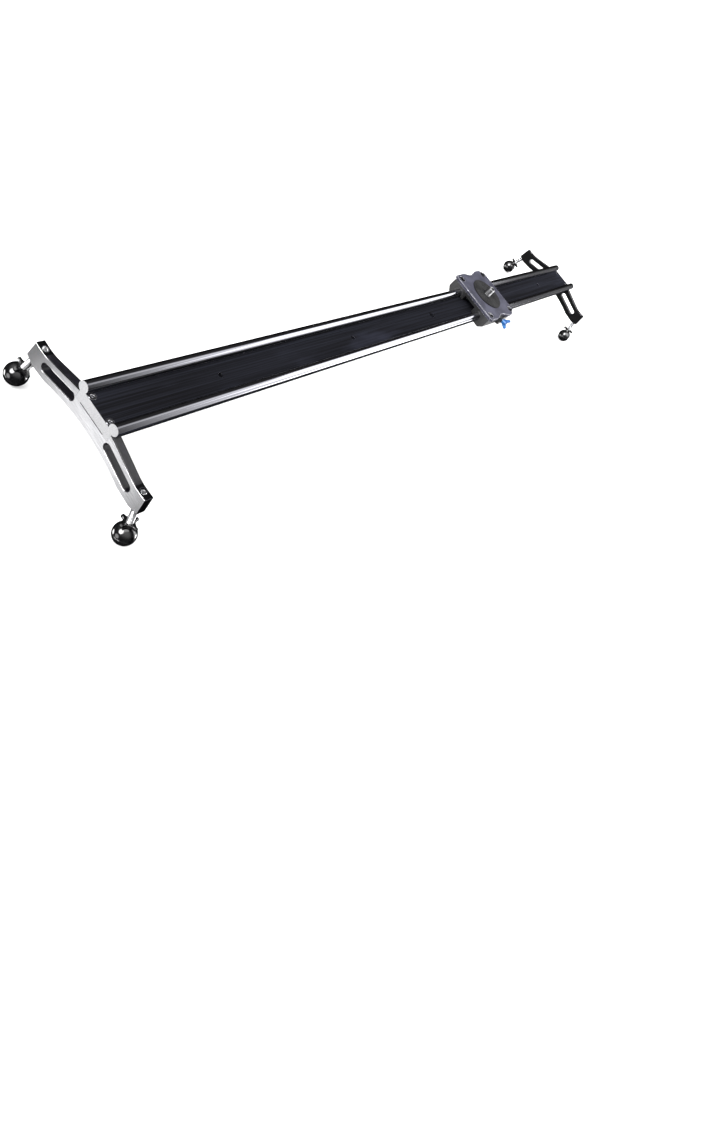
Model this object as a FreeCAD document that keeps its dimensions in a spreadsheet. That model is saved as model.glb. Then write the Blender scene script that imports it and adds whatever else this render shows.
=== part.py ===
import FreeCAD, Part
import math
import operator
import os
import Sketcher

# Camera slider: a double-shaft rail on two splayed end brackets with four ball feet, and a
# carriage on plastic liners that runs along it, with a side brake and a head stud.
# Millimetres. X runs along the rail, Z is up, and the origin is on the floor under the middle
# of the rail. Heights named "drop" are measured down from the shafts' centre line.

# ---------------------------------------------------------------- driving dimensions

DIMENSIONS = {
    # rail extrusion: two round shafts joined by a flat web
    "rail_length": 1000,
    "shaft_radius": 5,
    "shaft_offset": 20,
    "web_half_width": 21,
    "web_top_drop": 2.2,
    "web_bottom_drop": 13,
    "relief_half_width": 15,
    "relief_depth": 0.8,
    "quarter_hole_radius": 2.55,
    "three_eighth_hole_radius": 3.97,
    "hole_near": -365,
    "hole_inner": -155,
    "hole_middle": 25,
    "hole_far": 385,
    # end brackets
    "bracket_thickness": 8,
    "arm_top_drop": 5,
    "seat_gap": 0.05,
    "kink_y": 60.5,
    "kink_drop": 15.3,
    "kink_blend": 6.6,
    "tip_top_y": 74.3,
    "tip_top_drop": 14.8,
    "tip_end_y": 76.2,
    "tip_end_drop": 32,
    "heel_y": 66.6,
    "heel_drop": 35,
    "arch_half_width": 50,
    "arch_middle_drop": 26.5,
    "arch_end_drop": 33.8,
    "slot_inner_y": 25,
    "slot_inner_drop": 17.1,
    "slot_length": 31.2,
    "slot_tilt": 12.4,
    "slot_half_width": 3.9,
    "bracket_bevel": 0.7,
    # countersunk screws that hold the rail on the brackets
    "rail_screw_offset": 12,
    "rail_screw_radius": 2,
    "rail_screw_length": 19,
    "rail_screw_head_radius": 3.4,
    "rail_screw_head_height": 2,
    "rail_screw_socket": 2.5,
    # ball feet on threaded studs
    "foot_splay": 13.4,
    "stud_top_y": 66.75,
    "stud_top_drop": 15.35,
    "stud_reach": 46.6,
    "stud_radius": 3,
    "stud_length": 45,
    "stud_tail": 1.3,
    "stud_socket": 3,
    "thread_gap": 0.05,
    "ball_radius": 10,
    "ball_flat": 9.2,
    "grip_hub_radius": 3.8,
    "grip_low": 10.6,
    "grip_thickness": 3.2,
    "grip_tip_radius": 8.8,
    "grip_tip_half_width": 1.1,
    "grip_waist_radius": 4.8,
    # carriage
    "carriage_x": 162,
    "carriage_length": 80,
    "body_half_width": 36,
    "body_top_rise": 9.7,
    "ceiling_rise": 5.5,
    "leg_inner_y": 10,
    "leg_inner_drop": 1.6,
    "leg_outer_gap": 0.6,
    "body_bottom_drop": 8.5,
    "body_corner_width": 5,
    "body_corner_height": 5.5,
    "liner_radius": 7,
    "liner_gap": 0.06,
    "liner_length": 24,
    "plate_half_width": 39,
    "plate_thickness": 4,
    "plate_front_corner": 4,
    "plate_rear_corner_length": 11,
    "plate_rear_corner_width": 6.5,
    "scallop_half_width": 20,
    "scallop_depth": 4.3,
    "plate_bevel": 0.6,
    "plate_screw_x": 32,
    "plate_screw_y": 31,
    "plate_screw_radius": 2.5,
    "plate_screw_length": 13,
    "plate_screw_head_radius": 4.6,
    "plate_screw_head_height": 2.6,
    "plate_screw_socket": 3,
    "screw_hole_gap": 0.05,
    # side brake
    "brake_x": 170.5,
    "brake_tilt": 12,
    "boss_half_length": 10,
    "boss_root": 11,
    "boss_height": 10,
    "boss_face": 20.5,
    "brake_gap": 0.6,
    "brake_pad_radius": 3.5,
    "brake_pad_thickness": 4,
    "brake_screw_radius": 2.5,
    "brake_screw_length": 16,
    "brake_screw_chamfer": 0.5,
    "knob_start": 21.2,
    "knob_hub_radius": 3.4,
    "knob_hub_length": 6,
    "knob_crown_radius": 2.4,
    "knob_crown_rise": 0.85,
    "knob_wing_reach": 7.2,
    "knob_wing_end": 9.6,
    "knob_wing_thickness": 2.2,
    "knob_root_rise": 1,
    "knob_tip_height": 3,
    "knob_tip_width": 2.6,
    "knob_tip_radius": 2.4,
    "knob_saddle_rise": 0.4,
    "knob_saddle_radius": 7.9,
    # head stud and friction pad
    "head_stud_radius": 4.76,
    "head_shank_radius": 5.2,
    "head_stud_rise": 10,
    "head_stud_chamfer": 0.8,
    "head_flange_radius": 8.5,
    "head_flange_thickness": 3.5,
    "head_pad_radius": 24,
    "head_pad_thickness": 1.5,
    "head_pad_bore_gap": 1,
}

VOLUME_TOLERANCE = 1e-3
SAME_POINT = 1e-6
SEAT_MARGIN = 1

doc = FreeCAD.newDocument("camera_slider")
sheet = doc.addObject("Spreadsheet::Sheet", "dims")
for row, (alias, number) in enumerate(DIMENSIONS.items(), start=1):
    sheet.set(f"A{row}", alias)
    sheet.set(f"B{row}", str(number))
    sheet.setAlias(f"B{row}", alias)
doc.recompute()


class Size:
    """A dimension: its present value, and the sheet formula that drives it."""

    def __init__(self, value, formula):
        self.value = value
        self.formula = formula

    def __add__(self, other):
        return combine(self, "+", other, operator.add)

    def __radd__(self, other):
        return combine(other, "+", self, operator.add)

    def __sub__(self, other):
        return combine(self, "-", other, operator.sub)

    def __rsub__(self, other):
        return combine(other, "-", self, operator.sub)

    def __mul__(self, other):
        return combine(self, "*", other, operator.mul)

    def __rmul__(self, other):
        return combine(other, "*", self, operator.mul)

    def __truediv__(self, other):
        return combine(self, "/", other, operator.truediv)

    def __neg__(self):
        return combine(0, "-", self, operator.sub)


def as_size(thing):
    if isinstance(thing, Size):
        return thing
    return Size(float(thing), f"{float(thing):.9g}")


def combine(left, sign, right, rule):
    left, right = as_size(left), as_size(right)
    return Size(rule(left.value, right.value), f"({left.formula} {sign} {right.formula})")


def cosine(angle):
    return Size(math.cos(math.radians(angle.value)), f"cos({angle.formula})")


def sine(angle):
    return Size(math.sin(math.radians(angle.value)), f"sin({angle.formula})")


def root(size):
    return Size(math.sqrt(size.value), f"sqrt({size.formula})")


class Dimensions:
    """Gives each cell of the sheet as a Size, by its alias."""

    def __getattr__(self, alias):
        return Size(float(getattr(sheet, alias)), f"dims.{alias}")


d = Dimensions()

# ---------------------------------------------------------------- drawing helpers


def bind(thing, path, size):
    thing.setExpression(path, as_size(size).formula)


def place(thing, x=0, y=0, z=0, axis=None, angle=0):
    """Sets a placement whose position and turn follow the sheet."""
    for letter, size in zip("xyz", (x, y, z)):
        bind(thing, f"Placement.Base.{letter}", size)
    if axis is not None:
        for letter, part in zip("xyz", axis):
            bind(thing, f"Placement.Rotation.Axis.{letter}", part)
        bind(thing, "Placement.Rotation.Angle", angle)


def new_body(label):
    body = doc.addObject("PartDesign::Body", label)
    body.Label = label
    return body


def new_sketch(body, plane, lift=0):
    """An empty sketch on one of the body's own origin planes, raised along the normal."""
    sketch = body.newObject("Sketcher::SketchObject", f"{body.Name}_outline")
    origin_plane = [item for item in body.Origin.OriginFeatures if item.Role == plane][0]
    sketch.AttachmentSupport = [(origin_plane, "")]
    sketch.MapMode = "FlatFace"
    bind(sketch, "AttachmentOffset.Base.z", lift)
    return sketch


def flat(point):
    return FreeCAD.Vector(as_size(point[0]).value, as_size(point[1]).value, 0)


def fix(sketch, kind, *where, size):
    index = sketch.addConstraint(Sketcher.Constraint(kind, *where, as_size(size).value))
    bind(sketch, f"Constraints[{index}]", size)


def trace(sketch, path):
    """A closed outline. A point (x, y) is reached by a line, and a point (x, y, radius, via)
    by an arc of that radius that bulges towards via. With None for its radius, the arc leaves
    the line before it smoothly instead, as a half-circle does."""
    first = sketch.GeometryCount
    ends = []
    for start, end in zip(path, path[1:] + path[:1]):
        head, tail = flat(start), flat(end)
        if len(end) == 2:
            sketch.addGeometry(Part.LineSegment(head, tail), False)
            ends.append((1, 2))
            continue
        # A sketch's arcs all run anticlockwise, so a clockwise one is drawn from its far end.
        via = flat(end[3])
        clockwise = (via - head).cross(tail - via).z < 0
        arc = Part.Arc(tail, via, head) if clockwise else Part.Arc(head, via, tail)
        sketch.addGeometry(arc, False)
        ends.append((2, 1) if clockwise else (1, 2))
    targets = path[1:] + path[:1]
    smooth = [len(target) > 2 and target[2] is None for target in targets]
    for step, (start, target) in enumerate(zip(path, targets)):
        following = (step + 1) % len(path)
        here, there = first + step, first + following
        kind = "Tangent" if smooth[following] else "Coincident"
        link = Sketcher.Constraint(kind, here, ends[step][1], there, ends[following][0])
        sketch.addConstraint(link)
        fix(sketch, "DistanceX", -1, 1, here, ends[step][0], size=start[0])
        fix(sketch, "DistanceY", -1, 1, here, ends[step][0], size=start[1])
        if len(target) > 2 and not smooth[step]:
            fix(sketch, "Radius", here, size=target[2])


def rounding(corner, start, end):
    """A point between a corner and the chord that cuts it off, where an arc that rounds the
    corner passes."""
    return tuple((s + e + 2 * c) / 4 for s, e, c in zip(start, end, corner))


def ring(sketch, x, y, radius):
    circle = Part.Circle(flat((x, y)), FreeCAD.Vector(0, 0, 1), as_size(radius).value)
    index = sketch.addGeometry(circle, False)
    fix(sketch, "DistanceX", -1, 1, index, 3, size=x)
    fix(sketch, "DistanceY", -1, 1, index, 3, size=y)
    fix(sketch, "Radius", index, size=radius)


def hexagon(sketch, across_flats):
    corner = across_flats / math.sqrt(3)
    turns = [math.radians(60 * step) for step in range(6)]
    trace(sketch, [(corner * math.cos(turn), corner * math.sin(turn)) for turn in turns])


def feature(kind, body, sketch):
    made = body.newObject(f"PartDesign::{kind}", f"{body.Name}_{kind.lower()}")
    made.Profile = sketch
    return made


def pad(body, sketch, length, symmetric=False):
    made = feature("Pad", body, sketch)
    bind(made, "Length", length)
    made.SideType = "Symmetric" if symmetric else "One side"
    return made


def pocket(body, sketch, depth):
    """Cuts from the sketch down into the body, and checks that it removed something."""
    doc.recompute()
    before = body.Shape.Volume
    made = feature("Pocket", body, sketch)
    bind(made, "Length", depth)
    doc.recompute()
    if body.Shape.Volume > before - VOLUME_TOLERANCE:
        raise RuntimeError(f"the pocket in {body.Label} removed nothing")
    return made


def revolve(body, sketch):
    """A full turn of the sketch about the vertical sketch axis."""
    made = feature("Revolution", body, sketch)
    made.ReferenceAxis = (sketch, ["V_Axis"])
    made.Angle = 360
    return made


def bevel(body, base, size, is_wanted):
    """A chamfer on each edge of the base whose middle point is wanted."""
    doc.recompute()
    names = []
    for number, edge in enumerate(base.Shape.Edges, start=1):
        middle = edge.valueAt((edge.FirstParameter + edge.LastParameter) / 2)
        if is_wanted(middle):
            names.append(f"Edge{number}")
    made = body.newObject("PartDesign::Chamfer", f"{body.Name}_bevel")
    made.Base = (base, names)
    bind(made, "Size", size)
    return made


def cylinder(label, radius, height):
    made = doc.addObject("Part::Cylinder", label)
    bind(made, "Radius", radius)
    bind(made, "Height", height)
    return made


def cone(label, low_radius, high_radius, height):
    made = doc.addObject("Part::Cone", label)
    bind(made, "Radius1", low_radius)
    bind(made, "Radius2", high_radius)
    bind(made, "Height", height)
    return made


def carve(label, base, tools):
    """The base less the tools, as the finished piece."""
    tool = tools[0]
    if len(tools) > 1:
        tool = doc.addObject("Part::MultiFuse", f"{label}_tools")
        tool.Shapes = tools
    made = doc.addObject("Part::Cut", label)
    made.Label = label
    made.Base = base
    made.Tool = tool
    return made


def countersunk_screw(label, screw, spot):
    """A flat-headed screw with a hexagon socket: head up, top face at the spot.
    `screw` is the start of its names in the sheet."""
    radius, length = getattr(d, f"{screw}_radius"), getattr(d, f"{screw}_length")
    head_radius = getattr(d, f"{screw}_head_radius")
    head_height = getattr(d, f"{screw}_head_height")
    tip = length - radius / 3
    body = new_body(label)
    outline = new_sketch(body, "XZ_Plane")
    trace(outline, [(0, 0), (head_radius, 0), (radius, -head_height), (radius, -tip),
                    (radius * 2 / 3, -length), (0, -length)])
    revolve(body, outline)
    socket = new_sketch(body, "XY_Plane")
    hexagon(socket, getattr(d, f"{screw}_socket"))
    pocket(body, socket, head_height * 0.8)
    place(body, *spot)
    return body


def countersunk_hole(label, screw, spot):
    """The room that such a screw needs, as two tools standing on the same spot."""
    x, y, top = spot
    gap = d.screw_hole_gap
    radius, length = getattr(d, f"{screw}_radius"), getattr(d, f"{screw}_length")
    head_radius = getattr(d, f"{screw}_head_radius")
    head_height = getattr(d, f"{screw}_head_height")
    shank = cylinder(f"{label}_shank", radius + gap, length + gap)
    place(shank, x, y, top - length - gap)
    head = cone(f"{label}_head", radius + gap, head_radius + gap, head_height)
    place(head, x, y, top - head_height)
    return [shank, head]


def group(label, pieces):
    made = doc.addObject("Part::Compound", label)
    made.Label = label
    made.Links = pieces
    return made


parts = []
ENDS = {"near": -1, "far": 1}
SIDES = {"right": -1, "left": 1}

# ---------------------------------------------------------------- shared places

splay_sine, splay_cosine = sine(d.foot_splay), cosine(d.foot_splay)
shaft_height = d.stud_top_drop + d.stud_reach * splay_cosine + d.ball_radius
ball_y = d.stud_top_y + d.stud_reach * splay_sine
foot_x = d.rail_length / 2 - d.bracket_thickness / 2
web_top = shaft_height - d.web_top_drop
web_bottom = shaft_height - d.web_bottom_drop
body_top = shaft_height + d.body_top_rise
plate_top = body_top + d.plate_thickness

# ---------------------------------------------------------------- rail


def shaft_join(depth):
    """How far from a shaft's centre, sideways, its round surface is at this depth."""
    return root(d.shaft_radius * d.shaft_radius - depth * depth)


def make_rail():
    body = new_body("rail_extrusion")
    outline = new_sketch(body, "YZ_Plane")
    inner_y = d.shaft_offset - shaft_join(d.web_top_drop)
    outer_drop = shaft_join(d.web_half_width - d.shaft_offset)
    top = d.shaft_radius
    half = d.web_half_width
    relief_drop = d.web_bottom_drop - d.relief_depth
    trace(outline, [
        (-half, -d.web_bottom_drop),
        (-d.relief_half_width, -d.web_bottom_drop),
        (-d.relief_half_width, -relief_drop),
        (d.relief_half_width, -relief_drop),
        (d.relief_half_width, -d.web_bottom_drop),
        (half, -d.web_bottom_drop),
        (half, -outer_drop),
        (inner_y, -d.web_top_drop, d.shaft_radius, (d.shaft_offset, top)),
        (-inner_y, -d.web_top_drop),
        (-half, -outer_drop, d.shaft_radius, (-d.shaft_offset, top)),
    ])
    pad(body, outline, d.rail_length, symmetric=True)
    place(body, 0, 0, shaft_height)

    tools = []
    holes = {"near": ("hole_near", "quarter_hole_radius"),
             "inner": ("hole_inner", "quarter_hole_radius"),
             "middle": ("hole_middle", "three_eighth_hole_radius"),
             "far": ("hole_far", "quarter_hole_radius")}
    for name, (place_name, radius_name) in holes.items():
        hole = cylinder(f"web_hole_{name}", getattr(d, radius_name), d.web_bottom_drop)
        place(hole, getattr(d, place_name), 0, web_bottom)
        tools.append(hole)
    for end, way in ENDS.items():
        for side, hand in SIDES.items():
            spot = (way * foot_x, hand * d.rail_screw_offset, web_top)
            tools += countersunk_hole(f"rail_{end}_{side}_hole", "rail_screw", spot)
    parts.append(carve("rail", body, tools))


# ---------------------------------------------------------------- end brackets


def slot_path(hand):
    """One arm's slot: a straight run with round ends, sloping down and outwards."""
    tilt_sine, tilt_cosine = sine(d.slot_tilt), cosine(d.slot_tilt)
    half = d.slot_half_width
    start_y, start_z = d.slot_inner_y, -d.slot_inner_drop
    end_y = start_y + d.slot_length * tilt_cosine
    end_z = start_z - d.slot_length * tilt_sine
    across_y, across_z = half * tilt_sine, half * tilt_cosine
    outer_via = (hand * (end_y + half * tilt_cosine), end_z - half * tilt_sine)
    inner_via = (hand * (start_y - half * tilt_cosine), start_z + half * tilt_sine)
    return [
        (hand * (start_y + across_y), start_z + across_z, None, inner_via),
        (hand * (end_y + across_y), end_z + across_z),
        (hand * (end_y - across_y), end_z - across_z, None, outer_via),
        (hand * (start_y - across_y), start_z - across_z),
    ]


def make_bracket(end, way):
    body = new_body(f"bracket_{end}_plate")
    outline = new_sketch(body, "YZ_Plane")
    seat_y = d.web_half_width + d.seat_gap
    # The arm's top runs into the pad over each stud in one smooth arc.
    pad_run, pad_rise = d.tip_top_y - d.kink_y, d.kink_drop - d.tip_top_drop
    arm_run, arm_rise = d.kink_y - seat_y, d.kink_drop - d.arm_top_drop
    pad_share = d.kink_blend / root(pad_run * pad_run + pad_rise * pad_rise)
    arm_share = d.kink_blend / root(arm_run * arm_run + arm_rise * arm_rise)
    pad_blend = (d.kink_y + pad_run * pad_share, pad_rise * pad_share - d.kink_drop)
    arm_blend = (d.kink_y - arm_run * arm_share, arm_rise * arm_share - d.kink_drop)
    rise = d.arch_end_drop - d.arch_middle_drop
    arch_radius = (d.arch_half_width * d.arch_half_width + rise * rise) / (2 * rise)
    blend_via = rounding((d.kink_y, -d.kink_drop), pad_blend, arm_blend)
    right = [(d.arch_half_width, -d.arch_end_drop, arch_radius, (0, -d.arch_middle_drop)),
             (d.heel_y, -d.heel_drop),
             (d.tip_end_y, -d.tip_end_drop),
             (d.tip_top_y, -d.tip_top_drop),
             pad_blend,
             (*arm_blend, None, blend_via),
             (seat_y, -d.arm_top_drop),
             (seat_y, -d.web_bottom_drop)]
    left = [(-seat_y, -d.web_bottom_drop),
            (-seat_y, -d.arm_top_drop),
            (-arm_blend[0], arm_blend[1]),
            (-pad_blend[0], pad_blend[1], None, (-blend_via[0], blend_via[1])),
            (-d.tip_top_y, -d.tip_top_drop),
            (-d.tip_end_y, -d.tip_end_drop),
            (-d.heel_y, -d.heel_drop),
            (-d.arch_half_width, -d.arch_end_drop)]
    trace(outline, right + left)
    for hand in SIDES.values():
        trace(outline, slot_path(hand))
    plate = pad(body, outline, d.bracket_thickness)
    outer_x = d.bracket_thickness.value
    seat_edge = seat_y.value + SEAT_MARGIN
    seat_floor = -d.web_bottom_drop.value - SEAT_MARGIN

    def on_outer_rim(point):
        beside_seat = abs(point.y) < seat_edge and point.z > seat_floor
        return abs(point.x - outer_x) < SAME_POINT and not beside_seat

    bevel(body, plate, d.bracket_bevel, on_outer_rim)
    inner_x = way * (d.rail_length / 2 - d.bracket_thickness)
    place(body, inner_x, 0, shaft_height, (0, 0, 1), 0 if way > 0 else 180)

    tools = []
    for side, hand in SIDES.items():
        bore = cylinder(f"bracket_{end}_{side}_bore", d.stud_radius + d.thread_gap,
                        d.stud_reach + d.stud_radius)
        centre_y = hand * (ball_y - d.stud_tail * splay_sine)
        centre_z = d.ball_radius + d.stud_tail * splay_cosine
        place(bore, way * foot_x, centre_y, centre_z, (1, 0, 0), hand * d.foot_splay)
        tools.append(bore)
        gap = d.screw_hole_gap
        tapped = cylinder(f"bracket_{end}_{side}_tapping", d.rail_screw_radius + gap,
                          d.rail_screw_length)
        place(tapped, way * foot_x, hand * d.rail_screw_offset,
              web_top - d.rail_screw_length - gap)
        tools.append(tapped)
    parts.append(carve(f"end_bracket_{end}", body, tools))

    screws = []
    for side, hand in SIDES.items():
        spot = (way * foot_x, hand * d.rail_screw_offset, web_top)
        screws.append(countersunk_screw(f"rail_{end}_{side}_screw", "rail_screw", spot))
    parts.append(group(f"rail_screws_{end}", screws))


# ---------------------------------------------------------------- ball feet


def place_foot_piece(piece, way, hand):
    """Foot pieces are drawn about the ball's centre, with the stud along their own Z."""
    place(piece, way * foot_x, hand * ball_y, d.ball_radius, (1, 0, 0), hand * d.foot_splay)


def make_ball(name, way, hand):
    body = new_body(f"foot_ball_{name}")
    outline = new_sketch(body, "XZ_Plane")
    radius, level = d.ball_radius, d.ball_flat
    bore = d.stud_radius + d.thread_gap
    flat_radius = root(radius * radius - level * level)
    trace(outline, [
        (0, -radius),
        (flat_radius, level, radius, (radius, 0)),
        (bore, level),
        (bore, d.stud_tail),
        (0, d.stud_tail),
    ])
    revolve(body, outline)
    place_foot_piece(body, way, hand)
    parts.append(body)


def make_stud(name, way, hand):
    body = new_body(f"foot_stud_{name}")
    outline = new_sketch(body, "XZ_Plane")
    low, high = d.stud_tail, d.stud_tail + d.stud_length
    edge = d.stud_radius / 6
    inner = d.stud_radius - edge
    trace(outline, [(0, low), (inner, low), (d.stud_radius, low + edge),
                    (d.stud_radius, high - edge), (inner, high), (0, high)])
    revolve(body, outline)
    socket = new_sketch(body, "XY_Plane", high)
    hexagon(socket, d.stud_socket)
    pocket(body, socket, d.stud_socket)
    place_foot_piece(body, way, hand)
    parts.append(body)


def make_grip(name, way, hand):
    """A four-pointed star with hollowed sides, on a short hub that stands on the ball."""
    body = new_body(f"foot_grip_{name}")
    hub = new_sketch(body, "XY_Plane", d.ball_flat)
    ring(hub, 0, 0, d.grip_hub_radius)
    ring(hub, 0, 0, d.stud_radius)
    pad(body, hub, d.grip_low - d.ball_flat)

    star = new_sketch(body, "XY_Plane", d.grip_low)
    tip, half = d.grip_tip_radius, d.grip_tip_half_width
    waist = d.grip_waist_radius / math.sqrt(2)
    # The hollow between two points is an arc through the waist, square to the diagonal.
    reach = (tip + half) / 2
    chord_half = (tip - half) / math.sqrt(2)
    sagitta = (reach - waist) * math.sqrt(2)
    hollow = (chord_half * chord_half + sagitta * sagitta) / (2 * sagitta)
    path = []
    for step in range(4):
        c, s = round(math.cos(step * math.pi / 2)), round(math.sin(step * math.pi / 2))
        before = (c * tip + s * half, s * tip - c * half)
        after = (c * tip - s * half, s * tip + c * half)
        previous = (waist * (c + s), waist * (s - c))
        path.append((before[0], before[1], hollow, previous))
        path.append(after)
    trace(star, path)
    ring(star, 0, 0, d.stud_radius)
    pad(body, star, d.grip_thickness)
    place_foot_piece(body, way, hand)
    parts.append(body)


# ---------------------------------------------------------------- carriage


def bore_half_width(radius, depth):
    return root(radius * radius - depth * depth)


def make_carriage_body():
    body = new_body("carriage_casting")
    outline = new_sketch(body, "YZ_Plane")
    leg_outer_y = d.web_half_width + d.leg_outer_gap
    radius = d.liner_radius
    bore_outer_drop = bore_half_width(radius, leg_outer_y - d.shaft_offset)
    bore_inner_y = d.shaft_offset - bore_half_width(radius, d.leg_inner_drop)
    right = [
        (d.body_half_width, d.body_top_rise),
        (d.body_half_width, d.body_corner_height - d.body_bottom_drop),
        (d.body_half_width - d.body_corner_width, -d.body_bottom_drop),
        (leg_outer_y, -d.body_bottom_drop),
        (leg_outer_y, -bore_outer_drop),
        (bore_inner_y, -d.leg_inner_drop, radius, (d.shaft_offset, radius)),
        (d.leg_inner_y, -d.leg_inner_drop),
        (d.leg_inner_y, d.ceiling_rise),
    ]
    left = [
        (-d.leg_inner_y, d.ceiling_rise),
        (-d.leg_inner_y, -d.leg_inner_drop),
        (-bore_inner_y, -d.leg_inner_drop),
        (-leg_outer_y, -bore_outer_drop, radius, (-d.shaft_offset, radius)),
        (-leg_outer_y, -d.body_bottom_drop),
        (d.body_corner_width - d.body_half_width, -d.body_bottom_drop),
        (-d.body_half_width, d.body_corner_height - d.body_bottom_drop),
        (-d.body_half_width, d.body_top_rise),
    ]
    trace(outline, right + left)
    pad(body, outline, d.carriage_length, symmetric=True)
    place(body, d.carriage_x, 0, shaft_height)

    # The boss starts inside the wall, outside the bore, and ends square to the brake's axis.
    boss = doc.addObject("Part::Box", "brake_boss")
    bind(boss, "Length", 2 * d.boss_half_length)
    bind(boss, "Width", d.boss_height)
    bind(boss, "Height", d.boss_face - d.boss_root)
    tilt = d.brake_tilt
    out_y, out_z = -cosine(tilt), sine(tilt)
    up_y, up_z = sine(tilt), cosine(tilt)
    half = d.boss_height / 2
    place(boss, d.brake_x - d.boss_half_length,
          out_y * d.boss_root - d.shaft_offset - up_y * half,
          shaft_height + out_z * d.boss_root - up_z * half,
          (1, 0, 0), 90 - tilt)
    solid = doc.addObject("Part::Fuse", "carriage_with_boss")
    solid.Base = body
    solid.Tool = boss

    thread = cylinder("brake_thread", d.brake_screw_radius + d.thread_gap, d.boss_face)
    place_brake_piece(thread, d.shaft_radius)
    pad_room = d.brake_gap + d.brake_pad_thickness + d.brake_gap
    guide = cylinder("brake_pad_guide", d.brake_pad_radius + d.thread_gap, pad_room)
    place_brake_piece(guide, d.shaft_radius)
    stud_hole = cylinder("head_stud_hole", d.head_shank_radius + d.screw_hole_gap,
                         d.body_top_rise)
    place(stud_hole, d.carriage_x, 0, shaft_height)
    tools = [thread, guide, stud_hole]
    for name, x, y in plate_screw_spots():
        tapped = cylinder(f"plate_{name}_tapping", d.plate_screw_radius + d.screw_hole_gap,
                          d.plate_screw_length)
        place(tapped, x, y, plate_top - d.plate_screw_length - d.screw_hole_gap)
        tools.append(tapped)
    parts.append(carve("carriage_body", solid, tools))


def plate_screw_spots():
    spots = []
    for end, way in ENDS.items():
        for side, hand in SIDES.items():
            x = d.carriage_x + way * d.plate_screw_x
            spots.append((f"{end}_{side}", x, hand * d.plate_screw_y))
    return spots


def make_liner(end, way, side, hand):
    """A split plastic sleeve round the shaft, open where the web joins it."""
    body = new_body(f"bearing_liner_{end}_{side}")
    outline = new_sketch(body, "YZ_Plane")
    inner, outer = d.shaft_radius + d.liner_gap, d.liner_radius
    cut_y = d.web_half_width + d.leg_outer_gap - d.shaft_offset
    cut_z = d.leg_inner_drop
    trace(outline, [
        (cut_y, -bore_half_width(outer, cut_y)),
        (-bore_half_width(outer, cut_z), -cut_z, outer, (0, outer)),
        (-bore_half_width(inner, cut_z), -cut_z),
        (cut_y, -bore_half_width(inner, cut_y), inner, (0, inner)),
    ])
    pad(body, outline, d.liner_length, symmetric=True)
    centre_x = d.carriage_x + way * (d.carriage_length - d.liner_length) / 2
    # The right-hand liner is the left-hand one turned half round, so its gap faces inwards too.
    place(body, centre_x, hand * d.shaft_offset, shaft_height, (0, 0, 1), 0 if hand > 0 else 180)
    parts.append(body)


def scallop_path(hand):
    """The plate's long edge, with a shallow finger hollow in its middle: three equal arcs."""
    across, depth = d.scallop_half_width / 2, d.scallop_depth / 2
    radius = (across * across + depth * depth) / (2 * depth)
    edge = hand * d.plate_half_width
    turn = hand * (d.plate_half_width - depth)
    floor = hand * (d.plate_half_width - d.scallop_depth)
    quarter = across / 2
    near_edge = edge - hand * depth / 4
    return [
        (2 * across, edge),
        (across, turn, radius, (across + quarter, near_edge)),
        (-across, turn, radius, (0, floor)),
        (-2 * across, edge, radius, (-across - quarter, near_edge)),
    ]


def make_plate():
    body = new_body("carriage_plate_blank")
    outline = new_sketch(body, "XY_Plane")
    half, wide = d.carriage_length / 2, d.plate_half_width
    front = d.plate_front_corner
    rear, rear_width = d.plate_rear_corner_length, d.plate_rear_corner_width
    right_edge = [(-x, y) + tuple((rest[0], (-rest[1][0], rest[1][1])) if rest else ())
                  for x, y, *rest in scallop_path(-1)]
    trace(outline, [(half, wide - rear_width), (half - rear, wide)] + scallop_path(1)
          + [(front - half, wide), (-half, wide - front), (-half, front - wide),
             (front - half, -wide)] + right_edge
          + [(half - rear, -wide), (half, rear_width - wide)])
    blank = pad(body, outline, d.plate_thickness)
    top = d.plate_thickness.value
    bevel(body, blank, d.plate_bevel, lambda point: abs(point.z - top) < SAME_POINT)
    place(body, d.carriage_x, 0, body_top)

    stud_hole = cylinder("plate_stud_hole", d.head_shank_radius + d.screw_hole_gap,
                         d.plate_thickness * 2)
    place(stud_hole, d.carriage_x, 0, body_top)
    tools = [stud_hole]
    screws = []
    for name, x, y in plate_screw_spots():
        tools += countersunk_hole(f"plate_{name}_hole", "plate_screw", (x, y, plate_top))
        screw = countersunk_screw(f"plate_{name}_screw", "plate_screw", (x, y, plate_top))
        screws.append(screw)
    parts.append(carve("carriage_plate", body, tools))
    parts.append(group("plate_screws", screws))


def make_head_mount():
    """A 3/8 in stud held by a flange under the body, and the friction pad round it."""
    stud = new_body("head_stud")
    outline = new_sketch(stud, "XZ_Plane")
    flange_top = d.ceiling_rise
    flange_low = flange_top - d.head_flange_thickness
    shoulder = d.body_top_rise + d.plate_thickness + d.head_pad_thickness
    tip = shoulder + d.head_stud_rise
    shank, thread = d.head_shank_radius, d.head_stud_radius
    edge = d.head_stud_chamfer
    trace(outline, [(0, flange_low), (d.head_flange_radius, flange_low),
                    (d.head_flange_radius, flange_top), (shank, flange_top),
                    (shank, shoulder), (thread, shoulder),
                    (thread, tip - edge), (thread - edge, tip), (0, tip)])
    revolve(stud, outline)
    place(stud, d.carriage_x, 0, shaft_height)
    parts.append(stud)

    friction_pad = new_body("head_pad")
    disc = new_sketch(friction_pad, "XY_Plane")
    ring(disc, 0, 0, d.head_pad_radius)
    ring(disc, 0, 0, d.head_shank_radius + d.head_pad_bore_gap)
    pad(friction_pad, disc, d.head_pad_thickness)
    place(friction_pad, d.carriage_x, 0, plate_top)
    parts.append(friction_pad)


# ---------------------------------------------------------------- brake


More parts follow.
